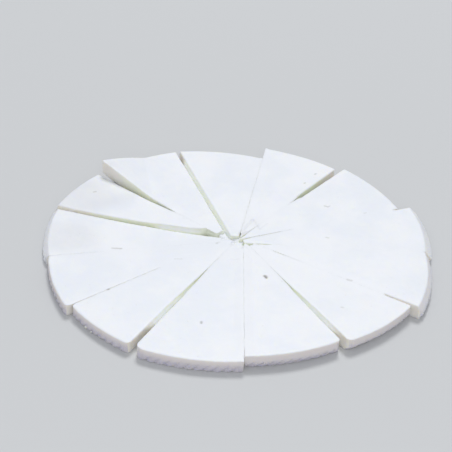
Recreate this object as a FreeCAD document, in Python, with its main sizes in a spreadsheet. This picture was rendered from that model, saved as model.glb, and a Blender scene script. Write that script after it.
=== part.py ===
import FreeCAD, Part
import math
import os
import Sketcher

# Queso fresco: a thin round of fresh white cheese, cut through its middle into
# thirteen wedge slices that still lie together as the whole round.  Every slice
# is a solid of its own.  Slices are numbered clockwise, seen from above, from
# the seam that points to the front (-Y).  The base lies at Z = 0, +Z is up.
#
# In a slice's own frame +X runs out along its middle line, +Y points at the
# slice before it, and the origin is the centre of the arc of its rim.

V = FreeCAD.Vector
Rotation = FreeCAD.Rotation
NOTCH_CLEAR = 8.0
RIM_CLEAR = 4.0
STEEP = 0.8

doc = FreeCAD.newDocument("queso_fresco")

# Driving dimensions, in millimetres and degrees.
SIZES = (
    ("rim_radius", 100.0),     # arc of every slice's rim, at the top edge
    ("thickness", 7.2),        # of the round, before each slice's own rise
    ("first_seam", 272.0),     # bearing of the seam before slice 1
    ("belly", 0.38),           # share of the height at which a rim is widest
    ("edge_round", 0.6),       # worn edge round each top face
    ("groove_pitch", 4.6),     # imprint of the plaited mould band on the rims
    ("groove_depth", 0.9),     # of the imprint at the bottom edge
    ("groove_width", 2.6),     # of one groove where it leaves the bottom edge
    ("groove_lean", 40.0),     # of the plait, from upright
    ("groove_reach", 0.8),     # share of the height that the grooves climb
    ("fold_angle", 18.0),      # of the lifted corner of slice 6
    ("fold_radius", 8.2),      # of its bend, on the top face
    ("fold_offset", 34.5),     # of its crease from the tip of the slice
    ("fold_turn", 64.0),       # of the way it rises, from the middle line
)

# What differs from slice to slice, as they were cut by hand: turn from the seam
# before it to the seam after it, how far that next seam misses the middle of
# the round, rim pushed out of the round, rim centre to the side, rise over the
# common thickness, swell of the rim beyond the top edge, how far the bottom edge
# draws in again, gap to the next slice, how many degrees that gap opens outward,
# length worn off the tip, and how far the next seam bows from a straight cut.
COLUMNS = (
    "share", "miss", "push", "side", "rise", "swell", "tuck", "gap", "fan", "blunt", "bow",
)
SLICES = (
    (28.4, -1.0, -0.8, -10.0, -0.6, 0.2, 0.3, 1.4, 0.9, 7.5, 0.0),
    (21.6, -5.6, 0.3, 1.5, -1.0, 0.3, 0.5, 0.3, 0.1, 9.0, 0.0),
    (26.6, -2.75, 1.3, 10.0, -1.0, 0.3, 0.4, 0.3, 0.1, 0.5, 0.0),
    (25.1, -5.6, -1.5, -4.0, -1.2, 2.8, 1.0, 1.8, 0.0, 11.5, 2.5),
    (27.1, 1.2, -0.4, 4.0, -0.1, 1.8, 0.8, 1.4, 0.1, 0.5, 0.0),
    (31.5, 2.1, -3.6, 4.0, 0.8, 0.0, 0.0, 1.9, 0.2, 6.5, 0.0),
    (29.3, -1.2, -7.2, 14.5, 0.8, 1.0, 0.6, 0.5, 0.1, 8.5, 0.0),
    (27.8, 0.3, 0.2, 4.0, 0.4, 1.0, 0.6, 0.2, 1.8, 0.5, 0.0),
    (29.1, 0.9, 1.6, 7.0, 0.4, 1.2, 0.6, 0.4, 0.1, 0.5, 0.0),
    (23.0, -1.2, 4.8, 14.0, 0.3, 4.6, 1.6, 0.3, 0.1, 8.5, 0.0),
    (31.1, 4.2, 2.0, -5.0, 0.5, 3.0, 1.4, 0.3, 0.1, 0.5, 0.0),
    (28.2, 4.3, -2.6, 11.0, 0.2, 0.4, 2.6, 0.4, 1.6, 7.0, 0.0),
    (31.2, 4.1, -7.0, -1.5, 0.5, 0.4, 1.6, 0.3, 0.0, 2.5, 0.0),
)
LIFTED = 6
NAMES = ["slice_%02d" % (i + 1) for i in range(len(SLICES))]

sheet = doc.addObject("Spreadsheet::Sheet", "sizes")


def put(row, alias, number):
    """Write one named number into the sheet."""
    sheet.set("A%d" % row, alias)
    sheet.set("B%d" % row, repr(number))
    sheet.setAlias("B%d" % row, alias)


entries = list(SIZES)
for count, numbers in enumerate(SLICES, 1):
    for column, number in zip(COLUMNS, numbers):
        entries.append(("%s_%02d" % (column, count), number))
for row, (alias, number) in enumerate(entries, 1):
    put(row, alias, number)
doc.recompute()

# Where the middle of the round lies in the part's frame, settled at the end.
frame = doc.addObject("App::VarSet", "frame")
frame.addProperty("App::PropertyFloat", "X", "Frame")
frame.addProperty("App::PropertyFloat", "Y", "Frame")


def size(alias, number=None):
    """Present value of a sheet cell, of one slice if a number is given."""
    return float(getattr(sheet, alias if number is None else "%s_%02d" % (alias, number)))


def cell(alias, number=None):
    """Expression for the same cell."""
    return "sizes." + (alias if number is None else "%s_%02d" % (alias, number))


def plane(body, role):
    """Origin plane or axis of a body."""
    return next(f for f in body.Origin.OriginFeatures if f.Role == role)


def bind(thing, **expressions):
    """Bind properties; a double underscore in a name stands for a dot."""
    for key, text in expressions.items():
        thing.setExpression(key.replace("__", "."), text)


def limit(sketch, name, text, *constraint):
    """Add a named constraint that an expression drives."""
    index = sketch.addConstraint(Sketcher.Constraint(*constraint))
    sketch.renameConstraint(index, name)
    sketch.setExpression("Constraints." + name, text)


def join(sketch, *pairs):
    """Make end points coincide."""
    for pair in pairs:
        sketch.addConstraint(Sketcher.Constraint("Coincident", *pair))


def new_sketch(body, name, role="XY_Plane", axis=V(0, 0, 1)):
    """Sketch on an origin plane, whose offset can turn about the given axis."""
    sketch = body.newObject("Sketcher::SketchObject", name)
    sketch.AttachmentSupport = [(plane(body, role), "")]
    sketch.MapMode = "FlatFace"
    sketch.AttachmentOffset = FreeCAD.Placement(V(0, 0, 0), Rotation(axis, 1))
    sketch.setExpression("AttachmentOffset.Rotation.Angle", "0deg")
    sketch.Visibility = False
    return sketch


def top_edges(shape, straight):
    """Names of the edges round a top face, or of the straight ones alone."""
    names = []
    for index, edge in enumerate(shape.Edges, 1):
        top_faces = [
            face for face in shape.Faces
            if any(edge.isSame(other) for other in face.Edges)
            and face.normalAt(*face.Surface.parameter(edge.CenterOfMass)).z > STEEP
        ]
        if len(top_faces) == 1 and not (straight and edge.Curve.TypeId != "Part::GeomLine"):
            names.append("Edge%d" % index)
    return names


def set_out(body, number):
    """Seam, angle, tip and place of a slice, chained from the one before it."""
    layout = doc.addObject("App::VarSet", "layout_%02d" % number)
    for name in ("Seam", "Spread", "Bearing", "TipX", "TipY", "Height"):
        layout.addProperty("App::PropertyFloat", name, "Slice")
    own = layout.Name
    before = number - 1 or len(SLICES)
    start = "layout_%02d.Seam" % (number - 1) if number > 1 else cell("first_seam")
    shares = " + ".join(cell("share", i + 1) for i in range(len(SLICES)))
    width = "360 * %s / (%s)" % (cell("share", number), shares)
    fan_before, fan = cell("fan", before), cell("fan", number)
    gaps = "(%s %%s %s) / 2" % (cell("gap", before), cell("gap", number))
    miss_before, miss = cell("miss", before), cell("miss", number)
    push, side = cell("push", number), cell("side", number)
    half = "(1deg * %s.Spread / 2)" % own
    turn = "(1deg * %s.Bearing)" % own
    bind(
        layout,
        Seam="%s - %s" % (start, width),
        Spread="%s - (%s + %s) / 2" % (width, fan_before, fan),
        Bearing="%s.Seam + %s / 2 + %s.Spread / 2" % (own, fan, own),
        TipX="(%s - %s + %s) / 2 / sin(%s) - %s" % (miss, miss_before, gaps % "+", half, push),
        TipY="(%s + %s - %s) / 2 / cos(%s) - %s" % (miss, miss_before, gaps % "-", half, side),
        Height="%s + %s" % (cell("thickness"), cell("rise", number)),
    )
    body.Placement = FreeCAD.Placement(V(0, 0, 0), Rotation(V(0, 0, 1), 1))
    place_x = "%s * cos(%s) - %s * sin(%s) + %s"
    place_y = "%s * sin(%s) + %s * cos(%s) + %s"
    bind(
        body,
        Placement__Base__x=place_x % (push, turn, side, turn, "frame.X"),
        Placement__Base__y=place_y % (push, turn, side, turn, "frame.Y"),
        Placement__Rotation__Angle=turn,
    )
    doc.recompute()
    return layout


def bow_side(outline, side, bow, text):
    """Turn one straight side of the outline into the arc of a bowed cut."""
    line = outline.Geometry[side]
    inner, outer = (line.StartPoint, line.EndPoint) if side == 0 else (line.EndPoint, line.StartPoint)
    radius = size("rim_radius") ** 2 / 8 / abs(bow)
    along = outer - inner
    across = V(-along.y, along.x, 0).normalize() * math.copysign(1, bow)
    middle = (inner + outer) / 2
    centre = middle - across * math.sqrt(radius ** 2 - along.Length ** 2 / 4)
    ends = [(outer, 1 if side else 2), (inner, 2 if side else 1)]
    if bow < 0:
        ends.reverse()
    turns = [math.atan2((end - centre).y, (end - centre).x) for end, _ in ends]
    outline.setConstruction(side, True)
    arc = outline.addGeometry(Part.ArcOfCircle(Part.Circle(centre, V(0, 0, 1), radius), *turns))
    join(outline, (arc, 1, side, ends[0][1]), (arc, 2, side, ends[1][1]))
    limit(outline, "bow_%d" % side, text, "Radius", arc, radius)


def cut_out(body, layout, number, radius, radius_text):
    """Keep one slice of the round: two cut sides from the tip, and an arc."""
    own = layout.Name
    tip = V(layout.TipX, layout.TipY, 0)
    half = math.radians(layout.Spread / 2)
    corners = []
    for way in (1, -1):
        along = V(math.cos(half), way * math.sin(half), 0)
        inner = tip.dot(along)
        corners.append(tip + along * (math.sqrt(inner ** 2 - tip.dot(tip) + radius ** 2) - inner))
    left, right = corners
    ends = [math.atan2(corner.y, corner.x) for corner in (right, left)]
    outer = 4 * size("rim_radius")
    outline = new_sketch(body, "outline_%02d" % number)
    outline.addGeometry([
        Part.LineSegment(tip, left),
        Part.ArcOfCircle(Part.Circle(V(0, 0, 0), V(0, 0, 1), radius), *ends),
        Part.LineSegment(right, tip),
        Part.Circle(V(0, 0, 0), V(0, 0, 1), outer),
    ])
    join(outline, (0, 2, 1, 2), (1, 1, 2, 1), (2, 2, 0, 1), (1, 3, -1, 1), (3, 3, -1, 1))
    limit(outline, "rim", radius_text, "Radius", 1, radius)
    limit(outline, "beyond", "4 * " + cell("rim_radius"), "Radius", 3, outer)
    limit(outline, "tip_x", own + ".TipX", "DistanceX", -1, 1, 0, 1, tip.x)
    limit(outline, "tip_y", own + ".TipY", "DistanceY", -1, 1, 0, 1, tip.y)
    limit(outline, "half", "1deg * %s.Spread / 2" % own, "Angle", 0, half)
    limit(outline, "full", "1deg * %s.Spread" % own, "Angle", 2, 2, 0, 1, 2 * half)
    for side, seam in ((0, number - 1 or len(SLICES)), (2, number)):
        bow = size("bow", seam)
        if bow:
            bow_side(outline, side, bow, "%s ^ 2 / 8 / abs(%s)" % (cell("rim_radius"), cell("bow", seam)))
    knife = body.newObject("PartDesign::Pocket", "knife_%02d" % number)
    knife.Profile = outline
    knife.Type = "ThroughAll"
    knife.Reversed = True
    return knife


def flat_slab(body, layout, number):
    """Turn the round with its bulging rim, and cut the slice out of it."""
    radius, height = size("rim_radius"), layout.Height
    swell, tuck, belly = size("swell", number), size("tuck", number), size("belly") * layout.Height
    wide = radius + swell
    profile = new_sketch(body, "profile_%02d" % number, "XZ_Plane")
    points = V(0, 0, 0), V(tuck - wide, 0, 0), V(-wide, belly, 0), V(-radius, height, 0), V(0, height, 0)
    profile.addGeometry([Part.LineSegment(points[i - 1], points[i]) for i in range(5)])
    join(profile, (0, 2, 1, 1), (1, 2, 2, 1), (2, 2, 3, 1), (3, 2, 4, 1), (4, 2, 0, 1), (0, 2, -1, 1))
    for rule in (("Vertical", 0), ("Horizontal", 1), ("Horizontal", 4)):
        profile.addConstraint(Sketcher.Constraint(*rule))
    wide_text = "%s + %s" % (cell("rim_radius"), cell("swell", number))
    low_text = "%s - %s" % (wide_text, cell("tuck", number))
    belly_text = "%s * %s.Height" % (cell("belly"), layout.Name)
    limit(profile, "bottom", low_text, "Distance", 1, wide - tuck)
    limit(profile, "top", cell("rim_radius"), "Distance", 4, radius)
    limit(profile, "height", layout.Name + ".Height", "Distance", 0, height)
    limit(profile, "widest", wide_text, "DistanceX", 2, 2, -1, 1, wide)
    limit(profile, "belly", belly_text, "DistanceY", -1, 1, 2, 2, belly)
    cheese = body.newObject("PartDesign::Revolution", "round_%02d" % number)
    cheese.Profile = profile
    cheese.ReferenceAxis = (plane(body, "Z_Axis"), [""])
    cheese.Angle = 360
    return cut_out(body, layout, number, wide + RIM_CLEAR, "%s + %g" % (wide_text, RIM_CLEAR))


def bent_slab(body, layout, number):
    """Plate with its outer corner folded up, cut to the slice's outline."""
    own = layout.Name
    height, fold = layout.Height, size("fold_radius")
    angle, span = math.radians(size("fold_angle")), 2 * size("rim_radius")
    turn, offset = "(1deg * %s)" % cell("fold_turn"), cell("fold_offset")
    bend = new_sketch(body, "bend_%02d" % number, "XZ_Plane", V(0, 1, 0))
    bind(
        bend,
        AttachmentOffset__Base__x="%s.TipX + %s * cos(%s)" % (own, offset, turn),
        AttachmentOffset__Base__z="-(%s.TipY + %s * sin(%s))" % (own, offset, turn),
        AttachmentOffset__Rotation__Angle=turn,
    )
    centre = V(0, height + fold, 0)
    along = V(math.cos(angle), math.sin(angle), 0)
    across = V(-math.sin(angle), math.cos(angle), 0)
    under, over = centre - across * (height + fold), centre - across * fold
    far, far_top = V(-span, 0, 0), V(-span, height, 0)
    end, end_top = under + along * span, over + along * span
    down = -math.pi / 2
    outer, inner = [
        Part.ArcOfCircle(Part.Circle(centre, V(0, 0, 1), radius), down, down + angle)
        for radius in (height + fold, fold)
    ]
    bend.addGeometry([
        Part.LineSegment(far, V(0, 0, 0)),
        outer,
        Part.LineSegment(under, end),
        Part.LineSegment(end, end_top),
        Part.LineSegment(end_top, over),
        inner,
        Part.LineSegment(V(0, height, 0), far_top),
        Part.LineSegment(far_top, far),
    ])
    for rule in (
        ("Tangent", 0, 2, 1, 1), ("Tangent", 1, 2, 2, 1),
        ("Tangent", 4, 2, 5, 2), ("Tangent", 5, 1, 6, 1),
        ("Horizontal", 0), ("Vertical", 7), ("Perpendicular", 2, 3), ("Parallel", 2, 4),
    ):
        bend.addConstraint(Sketcher.Constraint(*rule))
    join(bend, (2, 2, 3, 1), (3, 2, 4, 1), (6, 2, 7, 1), (7, 2, 0, 1), (1, 3, 5, 3))
    join(bend, (0, 2, -1, 1))
    limit(bend, "flat", "2 * " + cell("rim_radius"), "Distance", 0, span)
    limit(bend, "flap", "2 * " + cell("rim_radius"), "Distance", 2, span)
    limit(bend, "height", own + ".Height", "Distance", 7, height)
    limit(bend, "fold", cell("fold_radius"), "Radius", 5, fold)
    limit(bend, "rise", "1deg * " + cell("fold_angle"), "Angle", 2, angle)
    plate = body.newObject("PartDesign::Pad", "plate_%02d" % number)
    plate.Profile = bend
    plate.Midplane = True
    bind(plate, Length="4 * " + cell("rim_radius"))
    return cut_out(body, layout, number, size("rim_radius"), cell("rim_radius"))


def worn_edges(body, number, slab):
    """Round off the edges of the top face a little, but not the lifted slice's rim."""
    doc.recompute()
    rounding = body.newObject("PartDesign::Fillet", "worn_edge_%02d" % number)
    rounding.Base = (slab, top_edges(slab.Shape, number == LIFTED))
    bind(rounding, Radius=cell("edge_round"))


def worn_tip(body, layout, number):
    """Take the thin end of the tip off, square to the middle line."""
    own, blunt = layout.Name, cell("blunt", number)
    tip, worn = V(layout.TipX, layout.TipY, 0), size("blunt", number)
    corners = [tip + V(x * worn, y * worn, 0) for x, y in ((1, 1), (-1, 1), (-1, -1), (1, -1))]
    patch = new_sketch(body, "worn_%02d" % number)
    patch.addGeometry([Part.LineSegment(corners[i - 1], corners[i]) for i in range(4)])
    join(patch, (0, 2, 1, 1), (1, 2, 2, 1), (2, 2, 3, 1), (3, 2, 0, 1))
    for rule in (("Vertical", 0), ("Horizontal", 1), ("Vertical", 2), ("Horizontal", 3)):
        patch.addConstraint(Sketcher.Constraint(*rule))
    limit(patch, "wide", "2 * " + blunt, "Distance", 0, 2 * worn)
    limit(patch, "long", "2 * " + blunt, "Distance", 1, 2 * worn)
    limit(patch, "end_x", "%s.TipX + %s" % (own, blunt), "DistanceX", -1, 1, 0, 2, corners[0].x)
    limit(patch, "end_y", "%s.TipY + %s" % (own, blunt), "DistanceY", -1, 1, 0, 2, corners[0].y)
    worn_off = body.newObject("PartDesign::Pocket", "tip_%02d" % number)
    worn_off.Profile = patch
    worn_off.Type = "ThroughAll"
    worn_off.Reversed = True


def weave(body, layout, number):
    """Leaning grooves that the plaited band of the mould left in the rim."""
    own = layout.Name
    radius, depth = cell("rim_radius"), cell("groove_depth")
    swell, tuck, belly = cell("swell", number), cell("tuck", number), cell("belly")
    climb = "(%s * %s.Height)" % (cell("groove_reach"), own)
    lean = "tan(1deg * %s)" % cell("groove_lean")
    step = "(180 * %s / pi / %s)" % (cell("groove_pitch"), radius)
    arc = "(%s - %s.TipX) * %s.Spread" % (radius, own, own)
    grooves = "floor(pi * %s / 180 / %s)" % (arc, cell("groove_pitch"))
    middle = "asin(%s.TipY / %s) / 1deg" % (own, radius)
    drift = "(90 * %s * %s / pi / %s)" % (lean, climb, radius)
    notch = new_sketch(body, "notch_%02d" % number)
    first = "(1deg * (%s - %s - %s * (%s - 1) / 2))" % (middle, drift, step, grooves)
    bind(notch, AttachmentOffset__Rotation__Angle=first)
    foot = size("swell", number) - size("tuck", number) - size("groove_depth")
    apex = size("rim_radius") + foot
    clear = size("groove_depth") + NOTCH_CLEAR
    wide = size("groove_width") * clear / size("groove_depth")
    points = V(apex, 0, 0), V(apex + clear, -wide / 2, 0), V(apex + clear, wide / 2, 0)
    notch.addGeometry([Part.LineSegment(points[i], points[i - 2]) for i in range(3)])
    join(notch, (0, 2, 1, 1), (1, 2, 2, 1), (2, 2, 0, 1))
    notch.addConstraint(Sketcher.Constraint("PointOnObject", 0, 1, -1))
    notch.addConstraint(Sketcher.Constraint("Symmetric", 1, 1, 1, 2, -1))
    apex_text = "%s + %s - %s - %s" % (radius, swell, tuck, depth)
    clear_text = "%s + %g" % (depth, NOTCH_CLEAR)
    wide_text = "%s * (%s) / %s" % (cell("groove_width"), clear_text, depth)
    limit(notch, "apex", apex_text, "DistanceX", -1, 1, 0, 1, apex)
    limit(notch, "clear", clear_text, "DistanceX", 0, 1, 1, 1, clear)
    limit(notch, "wide", wide_text, "DistanceY", 1, 1, 1, 2, wide)
    groove = body.newObject("PartDesign::Pocket", "groove_%02d" % number)
    groove.Profile = notch
    groove.Refine = False
    groove.UseCustomVector = True
    groove.Direction = V(0, 0, 1)
    under = "%s / %s / %s.Height" % (tuck, belly, own)
    upper = "%s * (%s - %s) / (1 - %s)" % (swell, cell("groove_reach"), belly, belly)
    slope = "max(%s; (%s + %s - %s) / %s)" % (under, depth, tuck, upper, climb)
    bind(
        groove,
        Direction__x="%s * cos(%s) - %s * sin(%s)" % (slope, first, lean, first),
        Direction__y="%s * sin(%s) + %s * cos(%s)" % (slope, first, lean, first),
        Length=own + ".Height",
    )
    pattern = body.newObject("PartDesign::PolarPattern", "weave_%02d" % number)
    pattern.Originals = [groove]
    pattern.Refine = False
    pattern.Axis = (plane(body, "Z_Axis"), [""])
    bind(pattern, Angle="1deg * %s * (%s - 1)" % (step, grooves), Occurrences=grooves)
    body.Tip = pattern


bodies = []
for count, name in enumerate(NAMES, 1):
    body = doc.addObject("PartDesign::Body", name)
    body.Label = name
    bodies.append(body)
    layout = set_out(body, count)
    make_slab = bent_slab if count == LIFTED else flat_slab
    worn_edges(body, count, make_slab(body, layout, count))
    worn_tip(body, layout, count)
    weave(body, layout, count)
doc.recompute()

# The middle of the whole round's box becomes the origin.
box = FreeCAD.BoundBox()
for body in bodies:
    box.add(body.Shape.optimalBoundingBox(False))
frame.X = -box.Center.x
frame.Y = -box.Center.y
doc.recompute()

for thing in doc.Objects:
    if "Invalid" in thing.State or "Error" in thing.State:
        raise RuntimeError("%s: %s" % (thing.Name, thing.State))
for body in bodies:
    if body.Shape.isNull() or not body.Shape.isValid() or len(body.Shape.Solids) != 1:
        raise RuntimeError(body.Name + " is not one valid solid")

os.makedirs("parts", exist_ok=True)
for body in bodies:
    body.Shape.exportStep("parts/%s.step" % body.Label)
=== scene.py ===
import math
import random

import bmesh
import bpy
import numpy as np
from mathutils import Matrix, Vector, noise
from mathutils.bvhtree import BVHTree

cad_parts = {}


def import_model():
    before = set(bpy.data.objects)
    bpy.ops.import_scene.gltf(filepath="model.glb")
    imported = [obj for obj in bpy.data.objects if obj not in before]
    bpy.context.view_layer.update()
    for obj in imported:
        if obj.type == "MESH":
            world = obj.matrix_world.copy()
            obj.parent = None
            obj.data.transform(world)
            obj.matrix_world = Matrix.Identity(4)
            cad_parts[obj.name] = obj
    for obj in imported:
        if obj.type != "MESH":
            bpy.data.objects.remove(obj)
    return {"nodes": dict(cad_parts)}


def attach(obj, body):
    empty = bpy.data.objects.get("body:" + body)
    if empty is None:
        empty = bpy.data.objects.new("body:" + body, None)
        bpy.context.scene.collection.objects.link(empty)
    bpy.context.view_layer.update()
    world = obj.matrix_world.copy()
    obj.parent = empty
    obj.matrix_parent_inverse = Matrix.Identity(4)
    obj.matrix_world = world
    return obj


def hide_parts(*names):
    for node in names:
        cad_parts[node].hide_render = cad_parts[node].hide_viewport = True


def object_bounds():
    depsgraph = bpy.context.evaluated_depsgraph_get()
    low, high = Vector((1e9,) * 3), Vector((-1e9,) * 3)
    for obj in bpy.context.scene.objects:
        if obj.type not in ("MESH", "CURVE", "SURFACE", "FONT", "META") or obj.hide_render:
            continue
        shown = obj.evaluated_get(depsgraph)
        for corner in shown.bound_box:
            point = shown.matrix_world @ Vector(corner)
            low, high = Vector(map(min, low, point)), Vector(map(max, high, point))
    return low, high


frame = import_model()
cad_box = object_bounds()

# A round of fresh cheese, cut into wedge slices. Every slice is a finer copy of its solid,
# with its seams closed where the slices touch, and with ribs, curds, pits and marks.
# The slices are numbered clockwise seen from above. A seam has the number of the slice
# before it. Lengths in the tables are in mm, and places are measured from the middle.

MM = 0.001
MIDDLE = (-2.19 * MM, -1.77 * MM)   # middle of the round in the frame
RIM = 100.5 * MM                    # radius of the rims
CELL = 0.45 * MM                    # size of the fine mesh of the cheese


# ---------------------------------------------------------------- materials

# Colours, as low and high end of a mix where there are two. TOP and CUT are lit and shaded colours
# of one cheese, cool on faces that point up and warmer on the upright walls: painted light and
# shade.
TOP = ((0.805, 0.832, 0.885), (0.852, 0.868, 0.905))
CUT = ((0.830, 0.800, 0.740), (0.860, 0.835, 0.785))
# The rim colours are the rim's own tone with painted shade: darker and lilac at the foot, paler
# higher up.
RIM_SKIN_AND_SHADE = ((0.690, 0.660, 0.740), (0.790, 0.750, 0.745))
# Painted glow: a greenish tint for the cut walls, where light passes through the cheese and
# bounces in the gaps.
GAP_GLOW = (0.850, 0.880, 0.760)
# Painted shade in the pits.
PIT_SHADE = (0.70, 0.67, 0.58)
# Painted shade in dents, cracks and rib grooves, and the darker patches.
DARK = (0.33, 0.31, 0.27)
FLOOR = ((0.60, 0.61, 0.62), (0.62, 0.63, 0.64))

FACES_UP = (0.35, 0.9)          # upward part of the normal, from cut or rim to top: painted light, upward faces take the lit top colour
RIM_SHADE_HEIGHTS = (0.0015, 0.0055)  # heights of the two rim colours (m), painted shade darkening towards the foot
CLOUDS = (0.35, 0.65)           # range of the cloudy noise that mixes two colours
PIT_SIZE = (0.10, 0.03)         # distance from the middle of a pit, as a share of its cell
PIT_TONE = 0.16
ROUGHNESS = (0.38, 0.2)         # least roughness, and what the clouds add
SUBSURFACE = 0.6                # weight on open faces, none on closed seams
SUBSURFACE_RADIUS = (1.0, 0.90, 0.65)
SUBSURFACE_SCALE = 0.0022


def node(tree, kind, **sockets):
    n = tree.nodes.new(kind)
    for name, value in sockets.items():
        n.inputs[name.replace("_", " ")].default_value = value
    return n


def math_node(tree, operation, a, b):
    n = tree.nodes.new("ShaderNodeMath")
    n.operation = operation
    for slot, value in ((0, a), (1, b)):
        if isinstance(value, (int, float)):
            n.inputs[slot].default_value = value
        else:
            tree.links.new(value, n.inputs[slot])
    return n.outputs[0]


def mix_colour(tree, factor, a, b):
    n = tree.nodes.new("ShaderNodeMix")
    n.data_type = "RGBA"
    tree.links.new(factor, n.inputs["Factor"])
    for name, value in (("A", a), ("B", b)):
        socket = [s for s in n.inputs if s.name == name and s.type == "RGBA"][0]
        if isinstance(value, tuple):
            socket.default_value = (*value, 1.0)
        else:
            tree.links.new(value, socket)
    return [s for s in n.outputs if s.type == "RGBA"][0]


def ramp(tree, value, low, high):
    n = tree.nodes.new("ShaderNodeMapRange")
    n.interpolation_type = "SMOOTHSTEP"
    n.inputs["From Min"].default_value = low
    n.inputs["From Max"].default_value = high
    tree.links.new(value, n.inputs["Value"])
    return n.outputs[0]


def new_material(name):
    m = bpy.data.materials.new(name)
    m.use_nodes = True
    return m, m.node_tree, m.node_tree.nodes["Principled BSDF"]


def cheese_material():
    """Reads "zone" (rim, painted glow of the cut walls, painted shade of marks and grooves with
    the darker patches, openness) and "pale" from the mesh.
    """
    m, t, b = new_material("fresh_cheese")
    where = t.nodes.new("ShaderNodeTexCoord").outputs["Object"]
    split = t.nodes.new("ShaderNodeSeparateXYZ")
    t.links.new(t.nodes.new("ShaderNodeNewGeometry").outputs["Normal"], split.inputs[0])
    upward = ramp(t, split.outputs[2], *FACES_UP)

    clouds = node(t, "ShaderNodeTexNoise", Scale=38.0, Detail=4.0, Roughness=0.55)
    curd = node(t, "ShaderNodeTexVoronoi", Scale=420.0, Randomness=1.0)
    curd.feature = "SMOOTH_F1"
    grain = node(t, "ShaderNodeTexNoise", Scale=1500.0, Detail=3.0, Roughness=0.6)
    pits = node(t, "ShaderNodeTexVoronoi", Scale=170.0, Randomness=1.0)
    for texture in (clouds, curd, grain, pits):
        t.links.new(where, texture.inputs["Vector"])

    top = mix_colour(t, ramp(t, clouds.outputs[0], *CLOUDS), *TOP)
    cut = mix_colour(t, ramp(t, clouds.outputs[0], *CLOUDS), *CUT)
    zone = node(t, "ShaderNodeAttribute")
    zone.attribute_name = "zone"
    parts = t.nodes.new("ShaderNodeSeparateColor")
    t.links.new(zone.outputs["Color"], parts.inputs[0])
    rim, gap_glow, dark = parts.outputs
    side = mix_colour(t, gap_glow, cut, GAP_GLOW)
    place = t.nodes.new("ShaderNodeSeparateXYZ")
    t.links.new(where, place.inputs[0])
    # The rims: their own tone with painted shade, darkest at the foot.
    skin = mix_colour(t, ramp(t, place.outputs[2], *RIM_SHADE_HEIGHTS), *RIM_SKIN_AND_SHADE)
    side = mix_colour(t, rim, side, skin)
    pale = node(t, "ShaderNodeAttribute")
    pale.attribute_name = "pale"
    # Painted light and shade: faces that point up, and the pale rims, take the cool lit top
    # colour; the rest take the warmer shaded colours of walls and rims.
    lit = math_node(t, "MAXIMUM", upward, pale.outputs["Fac"])
    body = mix_colour(t, lit, side, top)
    # The pits are sunk by the bump below and painted darker: painted shade in the hollows.
    specks = ramp(t, pits.outputs["Distance"], *PIT_SIZE)
    colour = mix_colour(t, math_node(t, "MULTIPLY", specks, PIT_TONE), body, PIT_SHADE)
    # Painted shade of the marks and grooves, and the darker patches.
    colour = mix_colour(t, dark, colour, DARK)
    t.links.new(colour, b.inputs["Base Color"])

    least, added = ROUGHNESS
    rough = math_node(t, "ADD", math_node(t, "MULTIPLY", clouds.outputs[0], added), least)
    t.links.new(rough, b.inputs["Roughness"])
    b.inputs["IOR"].default_value = 1.42
    weight = math_node(t, "MULTIPLY", zone.outputs["Alpha"], SUBSURFACE)
    t.links.new(weight, b.inputs["Subsurface Weight"])
    b.inputs["Subsurface Radius"].default_value = SUBSURFACE_RADIUS
    b.inputs["Subsurface Scale"].default_value = SUBSURFACE_SCALE

    height = math_node(t, "ADD", math_node(t, "MULTIPLY", curd.outputs["Distance"], 0.5),
                       math_node(t, "MULTIPLY", grain.outputs[0], 0.35))
    height = math_node(t, "SUBTRACT", height, math_node(t, "MULTIPLY", specks, 0.8))
    bump = node(t, "ShaderNodeBump", Strength=0.35, Distance=0.0004)
    t.links.new(height, bump.inputs["Height"])
    t.links.new(bump.outputs[0], b.inputs["Normal"])
    return m


def floor_material():
    m, t, b = new_material("pale_floor")
    n = node(t, "ShaderNodeTexNoise", Scale=6.0, Detail=2.0)
    t.links.new(mix_colour(t, n.outputs[0], *FLOOR), b.inputs["Base Color"])
    b.inputs["Roughness"].default_value = 0.9
    return m


# ---------------------------------------------------------------- the slices

# Stretches where two slices touch and their tops read as one surface:
# seam, from, to, how closed at each end (0 to 1).
TOUCHING = (
    (13, 6, 86, 0.90, 0.85), (13, 86, 105, 0.85, 0.6),
    (1, 6, 62, 0.95, 0.0),
    (2, 6, 49, 1.0, 1.0), (2, 49, 105, 0.75, 0.55),
    (3, 6, 76, 1.0, 1.0), (3, 76, 105, 0.7, 0.5),
    (5, 6, 40, 1.0, 1.0), (5, 40, 60, 1.0, 0.0),
    (7, 6, 105, 0.8, 0.88),
    (8, 6, 20, 0.5, 0.85), (8, 20, 44, 1.0, 1.0), (8, 44, 56, 1.0, 0.3),
    (9, 6, 32, 0.65, 0.85), (9, 32, 94, 1.0, 1.0),
    (10, 17, 45, 0.85, 0.9), (10, 45, 98, 1.0, 1.0),
    (11, 6, 19, 1.0, 1.0), (11, 19, 36, 0.8, 0.9), (11, 36, 84, 1.0, 1.0),
    (12, 6, 26, 1.0, 1.0), (12, 26, 58, 0.95, 0.0),
)
TOUCHING_FADE = 1.5    # half the run over which a stretch fades out
WIDEST_GAP = 3.0       # widest gap that is measured
CLOSE_RATE = 1.6       # a gap is bridged in full from 1 / 1.6 closed
OVERLAP = 0.25         # how far closed tops run past the middle of their gap
OVERLAPPING = (0.7, 1.0)  # how closed a seam is where they start to, and where they do in full
EDGE = 1.5             # the rounded top edge of a solid lies this near its wall and top
WALL_REACH = (0.1, 1.2)   # distance from the wall over which the shift of a top fades
TOP_REACH = (0.6, 2.6)    # and distance below the top
CLOSED_BAND = (2.5, 5.0)  # strip beside a closed seam that has no subsurface

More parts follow.
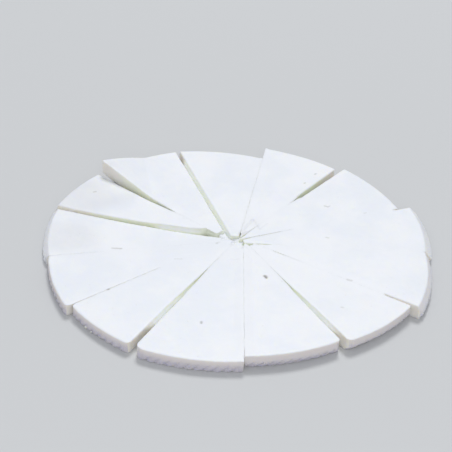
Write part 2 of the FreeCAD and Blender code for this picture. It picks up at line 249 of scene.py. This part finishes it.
# Gaps that go down to the board from here to the rim. Elsewhere the slices meet below.
DEEP = ((4, 46), (5, 50), (8, 50), (11, 84))
DEEP_FADE = 4
NEAR_RIM = (80, 92)       # every gap goes down to the board beyond this
LOW_OVERLAP = 0.08        # how far walls that meet below run past the middle of their gap
LOW_TOP = (0.5, 2.4)      # distance below the top over which they come to meet
LOW_WALL = (0.2, 2.0)     # distance from the wall over which that shift fades

# Stretch of a gap that is narrower than in the solids: seam, from, to, shift of each wall.
NARROW = ((4, 46, 100, 0.72),)
NARROW_FADE = 8

SIDE_BAND = (0.0, 5.0)    # distance from the wall over which a side strip fades
LEVELLED = (0.6, 1.0)     # how closed a seam is where its two tops come level
LEVEL_HEIGHT = (1, 6)     # height over which levelling grows, from none at the foot

# Corners between a cut and the rim that are worn round: slice, side, radius.
WORN = (
    (1, "after", 5.0), (2, "before", 3.0), (2, "after", 2.5), (3, "before", 2.5),
    (3, "after", 2.0), (4, "before", 2.0), (12, "after", 2.5), (13, "before", 2.5),
    (11, "after", 1.5), (12, "before", 1.5), (9, "before", 2.5), (8, "after", 2.0),
)

# Nicks, dents and cracks in the tops: from (x, y), to (x, y), half width, depth, darkness (0 to
# 1), which is painted shade in the hollow.
MARKS = (
    (16.1, -29.2, 16.6, -30.4, 0.9, 0.5, 0.9),
    (-14.1, -68.6, -14.0, -69.6, 0.7, 0.3, 0.55),
    (-80.4, 38.6, -79.2, 39.0, 0.6, 0.3, 0.55),
    (-64.0, -12.4, -59.0, -12.2, 0.45, 0.25, 0.55),
    (-61.7, -48.2, -61.2, -47.8, 0.6, 0.3, 0.5),
    (-31.0, -18.0, -27.0, -17.4, 0.35, 0.15, 0.25),
    (48.4, 41.2, 50.2, 40.4, 0.55, 0.25, 0.45),
    (50.2, 40.4, 51.2, 41.4, 0.4, 0.2, 0.35),
    (70.2, 36.8, 71.2, 37.2, 0.45, 0.2, 0.3),
    (37.2, 63.6, 37.9, 64.1, 0.5, 0.2, 0.5),
    (43.5, 74.6, 44.2, 75.0, 0.55, 0.25, 0.6),
    (48.2, 10.2, 49.6, 9.8, 0.45, 0.2, 0.35),
    (58.0, -26.6, 60.2, -27.3, 0.6, 0.25, 0.35),
    (54.0, -49.8, 55.0, -50.2, 0.5, 0.2, 0.25),
    (-2.5, -15.2, 2.5, -14.8, 0.3, 0.1, 0.08),
    (3.0, 9.5, 8.6, 22.0, 0.8, 0.35, 0.10),
    (8.6, 22.0, 12.6, 13.5, 0.7, 0.3, 0.10),
    (12.6, 13.5, 16.4, 19.0, 0.6, 0.2, 0.08),
    (2.6, 7.4, 5.4, 9.6, 1.2, 0.4, 0.22),
)
MARK_HEIGHT = (4.5, 6.0)  # marks lie in the tops alone, above these heights

# Soft darker patches on the tops: x, y, half width, darkness.
DARKER_PATCHES = (
    (-88.0, -4.0, 24.0, 0.11),
    (-84.0, 36.0, 30.0, 0.13),
    (9.0, 20.0, 9.0, 0.04),
)

# What counts as top and as rim: upward and outward part of the normal.
IS_TOP = (0.5, 0.9)
IS_RIM = (0.5, 0.85)
RIM_FROM = 60             # and the rim is at least this far out

# Sizes of waves, lumps and curds, and their heights on each kind of face.
SIZES = (14, 3.2, 1.5)
TOP_RELIEF = (0.08, 0.04, 0.0)
WALL_RELIEF = (0.12, 0.14, 0.10)
RIM_RELIEF = (0.0, 0.10, 0.08)
HIGHEST = 0.18            # relief is cut off above this
SUNK = 0.06               # and then lowered, to stay within the solids' box
FOOT = (-0.2, 0.8)        # heights over which relief grows, from none on the board
GAP_GLOW_END = (70, 92)      # the painted greenish glow of light through the cheese on the cut walls ends here, towards the rim

# The fine ribs that the mould leaves on the rims.
RIB = 1.8 * MM            # spacing
RIB_LEAN = 0.70           # rise of a rib for each unit of its run along the rim
RIB_RADIUS = 98           # radius at which the spacing is measured
RIB_HEIGHT = 0.26
RIB_WAVER = (0.75, 0.5)   # share of that height everywhere, and what the waves add or take
RIB_TONE = 0.16           # painted shade between the ribs
RIB_TOP = (3.2, 5.2)      # height at which they end on an upright rim
PALE_RIB_TOP = (5.6, 7.2)

# Rims that bulge and face upwards, by slice, painted in the lit colour of the tops: painted light.
# Above FULLY_PALE the ribs cover the full height.
PALE_RIMS = {4: 0.85, 5: 0.5, 10: 0.9, 11: 0.45}
FULLY_PALE = 0.7

SHARP = math.radians(55)


def vectors(collection, key):
    out = np.empty(len(collection) * 3, dtype=np.float32)
    collection.foreach_get(key, out)
    return out.reshape(-1, 3).astype(float)


def smooth(value, low, high):
    t = np.clip((value - low) / (high - low), 0, 1)
    return t * t * (3 - 2 * t)


def fade(value, low, high):
    """0 below low (mm), 1 above high (mm), smooth between them."""
    return smooth(value, low * MM, high * MM)


def window(value, start, end, soft):
    """1 between start and end (mm), fading out over twice soft at each."""
    return fade(value, start - soft, start + soft) * (1 - fade(value, end - soft, end + soft))


def fine_copy(name, source):
    """A closed fine mesh in the space of another mesh."""
    rough = source.copy()
    o = bpy.data.objects.new(name, rough)
    bpy.context.scene.collection.objects.link(o)
    o.data.materials.clear()
    m = o.modifiers.new("fine", "REMESH")
    m.mode = "VOXEL"
    m.voxel_size = CELL
    s = o.modifiers.new("soft", "SMOOTH")
    s.factor = 0.5
    s.iterations = 3
    bpy.context.view_layer.update()
    graph = bpy.context.evaluated_depsgraph_get()
    mesh = bpy.data.meshes.new_from_object(o.evaluated_get(graph))
    o.modifiers.clear()
    o.data = mesh
    bpy.data.meshes.remove(rough)
    mesh.name = name
    return o


def planes(source):
    """The two cut walls and the top of a solid, as point and normal, and the middle of its rim."""
    mesh = source.data
    centre = vectors(mesh.polygons, "center")
    normal = vectors(mesh.polygons, "normal")
    area = np.empty(len(mesh.polygons), dtype=np.float32)
    mesh.polygons.foreach_get("area", area)
    far = np.hypot(centre[:, 0], centre[:, 1])
    out = (normal[:, 0] * centre[:, 0] + normal[:, 1] * centre[:, 1]) / np.maximum(far, 1e-6)
    turn = centre[:, 0] * normal[:, 1] - centre[:, 1] * normal[:, 0]
    upright = (np.abs(normal[:, 2]) < 0.1) & (np.abs(out) < 0.5) & (far > 12 * MM)
    groups = {"after": upright & (turn < 0), "before": upright & (turn > 0),
              "top": normal[:, 2] > 0.9995}
    found = {}
    for key, chosen in groups.items():
        weight = area[chosen][:, None]
        n = (normal[chosen] * weight).sum(0)
        found[key] = ((centre[chosen] * weight).sum(0) / weight.sum(), n / np.linalg.norm(n))
    found["middle"] = rim_middle(
        centre[(out > 0.6) & (np.abs(normal[:, 2]) < 0.75) & (far > 80 * MM), :2])
    return found


def rim_middle(skin, rounds=8, damping=0.002):
    """Middle of the circle with the radius of the rims that fits the points of one rim best."""
    middle = np.array(MIDDLE)
    for _ in range(rounds):
        spoke = skin - middle
        length = np.hypot(*spoke.T)
        ray = spoke / length[:, None]
        pull = ray.T @ ray + damping * len(ray) * np.eye(2)
        middle = middle + np.linalg.solve(pull, ray.T @ (length - RIM))
    return middle


def height_of(top, at):
    """Height of the plane of a top at each point."""
    point, n = top
    return point[2] - ((at[:, 0] - point[0]) * n[0] + (at[:, 1] - point[1]) * n[1]) / n[2]


def closed_share(seam, radius):
    """How closed a seam is at each distance from the middle."""
    closed = np.zeros(len(radius))
    for which, start, end, first, last in TOUCHING:
        if which == seam:
            part = window(radius, start, end, TOUCHING_FADE)
            part *= np.interp(radius, (start * MM, end * MM), (first, last))
            closed = np.minimum(closed + part, 1)
    return closed


def depth_share(seam, radius):
    """1 where a gap goes down to the board, 0 where its walls meet below."""
    deep = fade(radius, *NEAR_RIM)
    for which, start in DEEP:
        if which == seam:
            deep = np.maximum(deep, fade(radius, start - DEEP_FADE, start + DEEP_FADE))
    return deep


def close_seams(at, number, faces):
    """Brings touching slices together along their seams, and returns how closed each point is."""
    mine = faces[number]
    radius = np.hypot(at[:, 0], at[:, 1])
    closed_all = np.zeros(len(at))
    following, previous = number % len(faces) + 1, (number - 2) % len(faces) + 1
    for side, facing, seam, neighbour in (("after", "before", number, following),
                                          ("before", "after", previous, previous)):
        other = faces[neighbour]
        closed = closed_share(seam, radius)
        point, n = mine[side]
        inside = -(at - point) @ n
        top = height_of(mine["top"], at)
        below = top - at[:, 2]
        opposite, m = other[facing]
        gap = np.clip((opposite - at) @ m / (n @ m) - inside, 0, WIDEST_GAP * MM)
        band = 1 - fade(inside, *SIDE_BAND)

        # The rounded edge of the solid is filled up to a sharp one.
        near = (inside < EDGE * MM) & (below < EDGE * MM)
        corner = np.minimum(np.clip(inside, 0, None), np.clip(below, 0, None))
        corner = np.where(near, corner, 0) * closed

        # The top of the wall goes to the middle of the seam, and slightly past it.
        reach = (1 - fade(inside, *WALL_REACH)) * (1 - fade(below, *TOP_REACH))
        bridged = gap / 2 * np.minimum(closed * CLOSE_RATE, 1)
        shift = corner + reach * (bridged + OVERLAP * MM * smooth(closed, *OVERLAPPING))
        shift *= closed > 0.01

        # The foot of the wall goes there where the gap is shallow.
        low = fade(below, *LOW_TOP) * (1 - fade(inside, *LOW_WALL))
        low = low * (1 - depth_share(seam, radius)) * (gap / 2 + LOW_OVERLAP * MM)
        shift = np.maximum(shift, low)
        for which, start, end, amount in NARROW:
            if which == seam:
                shift += amount * MM * window(radius, start, end, NARROW_FADE) * band
        at += n * shift[:, None]

        # The two tops come level.
        level = (height_of(other["top"], at) - top) / 2 * smooth(closed, *LEVELLED)
        at[:, 2] += corner + level * band * fade(at[:, 2], *LEVEL_HEIGHT)
        closed_all = np.maximum(closed_all, closed * (1 - fade(inside, *CLOSED_BAND)))
    return closed_all


def wear_corners(at, number, faces):
    """Rounds corners of a slice in plan, where its cuts meet the rim."""
    middle = faces[number]["middle"]
    for which, side, size in WORN:
        if which != number:
            continue
        point, n = faces[number][side]
        r = size * MM
        a = -(at - point) @ n
        spoke = at[:, :2] - middle
        far = np.hypot(*spoke.T)
        b = RIM - far
        u, v = np.clip(r - a, 0, None), np.clip(r - b, 0, None)
        off = np.hypot(u, v)
        pull = np.where((u > 0) & (v > 0) & (off > r), 1 - r / np.maximum(off, 1e-9), 0)
        at -= n * (u * pull)[:, None]
        at[:, :2] -= spoke / far[:, None] * (v * pull)[:, None]


def field(at, size):
    return np.array([noise.noise(Vector(p) / (size * MM)) for p in at])


def waves(heights, fields):
    return sum(height * f for height, f in zip(heights, fields))


def press_marks(at, curds):
    """Presses the marks into the tops, and returns how dark each point is: painted shade in the
    hollows.
    """
    dark = np.zeros(len(at))
    on_top = fade(at[:, 2], *MARK_HEIGHT)
    for x1, y1, x2, y2, half, depth, tone in MARKS:
        a = np.array((x1 * MM + MIDDLE[0], y1 * MM + MIDDLE[1]))
        b = np.array((x2 * MM + MIDDLE[0], y2 * MM + MIDDLE[1]))
        run = b - a
        share = np.clip((at[:, :2] - a) @ run / (run @ run), 0, 1)
        off = np.hypot(*(at[:, :2] - a - share[:, None] * run).T)
        off *= 1 + 0.35 * curds
        hollow = (1 - fade(off, 0.3 * half, 1.4 * half)) * on_top
        at[:, 2] -= hollow * depth * MM
        # Painted shade: darker where the mark is deepest.
        dark = np.maximum(dark, hollow * tone)
    return dark


def darker_patches(at, coarse):
    """How dark the patches make each point."""
    dark = np.zeros(len(at))
    for x, y, half, tone in DARKER_PATCHES:
        off = np.hypot(at[:, 0] - x * MM - MIDDLE[0], at[:, 1] - y * MM - MIDDLE[1])
        off *= 1 + 0.5 * coarse
        dark = np.maximum(dark, tone * (1 - fade(off, 0.2 * half, half)))
    return dark


def relief(o, number, faces):
    """Gives the fine mesh its waves, curds, ribs, pits and cracks."""
    mesh = o.data
    at = vectors(mesh.vertices, "co")
    normal = vectors(mesh.vertex_normals, "vector")
    closed = close_seams(at, number, faces)
    wear_corners(at, number, faces)
    fields = coarse, lumps, curds = [field(at, size) for size in SIZES]

    # Shares of each point in the rim, the top and the cut walls.
    radius = np.hypot(at[:, 0], at[:, 1])
    angle = np.arctan2(at[:, 1], at[:, 0])
    outward = (normal[:, 0] * at[:, 0] + normal[:, 1] * at[:, 1]) / np.maximum(radius, 1e-6)
    rim = smooth(outward, *IS_RIM) * (radius > RIM_FROM * MM)
    upper = smooth(normal[:, 2], *IS_TOP)
    wall = np.clip(1 - upper - rim, 0, 1)

    pale = PALE_RIMS.get(number, 0.0)
    low = 1 - fade(at[:, 2], *(PALE_RIB_TOP if pale > FULLY_PALE else RIB_TOP))
    steady, waver = RIB_WAVER
    along = angle * RIB_RADIUS * MM + at[:, 2] / RIB_LEAN
    ribs = np.sin(2 * math.pi * along / RIB) * (steady + waver * coarse)
    move = waves(TOP_RELIEF, fields) * upper
    move += waves(WALL_RELIEF, fields) * wall
    move += (waves(RIM_RELIEF, fields) + RIB_HEIGHT * ribs * low) * rim
    move = np.minimum(move, HIGHEST) - SUNK
    base = fade(at[:, 2], *FOOT)
    dark = press_marks(at, curds)
    at += normal * (move * MM * base)[:, None]
    mesh.vertices.foreach_set("co", at.astype(np.float32).ravel())

    # pale: painted light, the lit top colour on rims that face upwards.
    # "pale" comes first: adding an attribute would leave the data of "zone" out of date.
    mesh.attributes.new("pale", "FLOAT", "POINT")
    mesh.attributes["pale"].data.foreach_set("value", (rim * pale).astype(np.float32))
    zone = mesh.color_attributes.new("zone", "FLOAT_COLOR", "POINT")
    # Painted glow on the cut walls, fading out towards the rim.
    gap_glow = wall * (1 - fade(radius, *GAP_GLOW_END))
    # Painted shade in the grooves between the ribs.
    dark = np.maximum(dark, RIB_TONE * rim * low * smooth(-ribs, 0.0, 0.9))
    dark = np.maximum(dark, darker_patches(at, coarse) * upper)
    tint = np.stack([rim, gap_glow, dark, 1 - closed], 1).astype(np.float32)
    zone.data.foreach_set("color", tint.ravel())
    mesh.update()
    mesh.set_sharp_from_angle(angle=SHARP)


cheese = cheese_material()
names = sorted(n for n in frame["nodes"] if n.startswith("slice_"))
faces = {int(name[-2:]): planes(frame["nodes"][name]) for name in names}
for name in names:
    piece = fine_copy("cheese_" + name[-2:], frame["nodes"][name].data)
    relief(piece, int(name[-2:]), faces)
    piece.data.materials.append(cheese)
    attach(piece, "root")
    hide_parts(name)


# ---------------------------------------------------------------- crumbs

CRUMB_SEED = 7
CRUMB_ZONE = (0.0, 0.5, 0.0, 0.0)   # half the painted green glow of the cut walls, no subsurface

MIDDLE_TRIES = 700
MIDDLE_REACH = 11.5       # crumbs fill the hole between the tips this far out
MIDDLE_TOP = 6.3          # and up to this height
MIDDLE_HALF = (1.0, 1.7)  # half their size

FOOT_COUNT = 16
FOOT_TURN = (212, 238)    # degrees round the middle: the front left rim
FOOT_REACH = (96.5, 100.5)
FOOT_HALF = (0.5, 0.9)


def tree_of(mesh):
    return BVHTree.FromPolygons([v.co for v in mesh.vertices],
                                [tuple(p.vertices) for p in mesh.polygons])


def inside_a_slice(trees, p):
    for tree in trees:
        hit, n, _, _ = tree.find_nearest(p)
        if (p - hit).dot(n) < 0:
            return True
    return False


def around(turn, reach, height):
    return Vector((MIDDLE[0] + reach * math.cos(turn), MIDDLE[1] + reach * math.sin(turn), height))


def lump(mesh, place, half, draw):
    """Adds one irregular bit of curd to a bmesh."""
    made = bmesh.ops.create_icosphere(mesh, subdivisions=3, radius=half)["verts"]
    shift = Vector([draw.uniform(-9, 9) for _ in range(3)])
    squeeze = Vector([draw.uniform(0.7, 1.15) for _ in range(3)])
    for v in made:
        coarse = 0.45 * noise.noise(v.co / half * 0.9 + shift)
        fine = 0.15 * noise.noise(v.co / half * 3 + shift)
        push = 1 + coarse + fine
        v.co = Vector(a * b for a, b in zip(v.co * push, squeeze)) + place


def crumbs(name, places, material):
    draw = random.Random(CRUMB_SEED)
    mesh = bmesh.new()
    for place, half in places(draw):
        lump(mesh, place, half, draw)
    data = bpy.data.meshes.new(name)
    mesh.to_mesh(data)
    mesh.free()
    o = fine_copy(name, data)
    bpy.data.meshes.remove(data)
    zone = o.data.color_attributes.new("zone", "FLOAT_COLOR", "POINT")
    zone.data.foreach_set("color", CRUMB_ZONE * len(o.data.vertices))
    o.data.polygons.foreach_set("use_smooth", [True] * len(o.data.polygons))
    o.data.materials.append(material)
    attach(o, "root")


def middle_crumbs(draw):
    """Bits of curd that fill the hole between the blunt tips."""
    trees = [tree_of(frame["nodes"][n].data) for n in names]
    for _ in range(MIDDLE_TRIES):
        turn, reach = draw.uniform(0, 2 * math.pi), MIDDLE_REACH * MM * math.sqrt(draw.random())
        half = draw.uniform(*MIDDLE_HALF) * MM
        p = around(turn, reach, draw.uniform(1.4 * half, MIDDLE_TOP * MM - half))
        if not inside_a_slice(trees, p):
            yield p, half


def foot_crumbs(draw):
    """A few bits that lie at the foot of the front left rim."""
    for _ in range(FOOT_COUNT):
        turn = math.radians(draw.uniform(*FOOT_TURN))
        reach = draw.uniform(*FOOT_REACH) * MM
        half = draw.uniform(*FOOT_HALF) * MM
        yield around(turn, reach, half * 1.3), half


crumbs("crumbs_middle", middle_crumbs, cheese)
crumbs("crumbs_foot", foot_crumbs, cheese)


# ---------------------------------------------------------------- floor, light, camera

FLOOR_HALF = 6.0          # half a side (m)
FLOOR_DROP = 0.00005      # the floor lies this far below the part (m)

# Name, place (m), size (m), power, colour. All lamps point at the part.
LAMPS = (
    ("key", (0.1, 1.6, 2.5), 1.0, 41.5, (1.0, 1.0, 1.0)),
    ("fill", (0.0, -0.95, 0.7), 0.9, 3.1, (1.0, 0.98, 0.97)),
)
SKY = (0.93, 0.96, 1.0, 1.0)
SKY_STRENGTH = 0.51

# The camera that fits the photo best.
CAMERA_PLACE = (-7.85, -513.3, 359.9)
CAMERA_DOWN = 33.86       # degrees below level
CAMERA_ROLL = 4.25        # degrees
CAMERA_LENS = 93.7        # on a sensor 36 mm wide


def floor():
    mesh = bpy.data.meshes.new("floor")
    s = FLOOR_HALF
    mesh.from_pydata([(-s, -s, 0), (s, -s, 0), (s, s, 0), (-s, s, 0)], [], [(0, 1, 2, 3)])
    o = bpy.data.objects.new("floor", mesh)
    bpy.context.scene.collection.objects.link(o)
    o.location.z = cad_box[0][2] - FLOOR_DROP
    o.data.materials.append(floor_material())


def lamp(name, place, size, power, colour):
    light = bpy.data.lights.new(name, "AREA")
    light.shape = "DISK"
    light.size = size
    light.energy = power
    light.color = colour
    o = bpy.data.objects.new(name, light)
    bpy.context.scene.collection.objects.link(o)
    o.location = place
    o.rotation_euler = (Vector((0, 0, 0)) - Vector(place)).to_track_quat("-Z", "Y").to_euler()


def world():
    w = bpy.data.worlds.new("world")
    bpy.context.scene.world = w
    w.use_nodes = True
    background = w.node_tree.nodes["Background"]
    background.inputs["Color"].default_value = SKY
    background.inputs["Strength"].default_value = SKY_STRENGTH


def camera():
    data = bpy.data.cameras.new("camera")
    data.sensor_width = 36.0
    data.lens = CAMERA_LENS
    data.clip_start = 0.01
    o = bpy.data.objects.new("camera", data)
    bpy.context.scene.collection.objects.link(o)
    tilt = Matrix.Rotation(math.radians(90 - CAMERA_DOWN), 4, "X")
    roll = Matrix.Rotation(math.radians(CAMERA_ROLL), 4, "Z")
    o.matrix_world = Matrix.Translation([c * MM for c in CAMERA_PLACE]) @ (tilt @ roll)
    bpy.context.scene.camera = o


floor()
for values in LAMPS:
    lamp(*values)
world()
camera()
bpy.context.scene.view_settings.view_transform = "Standard"
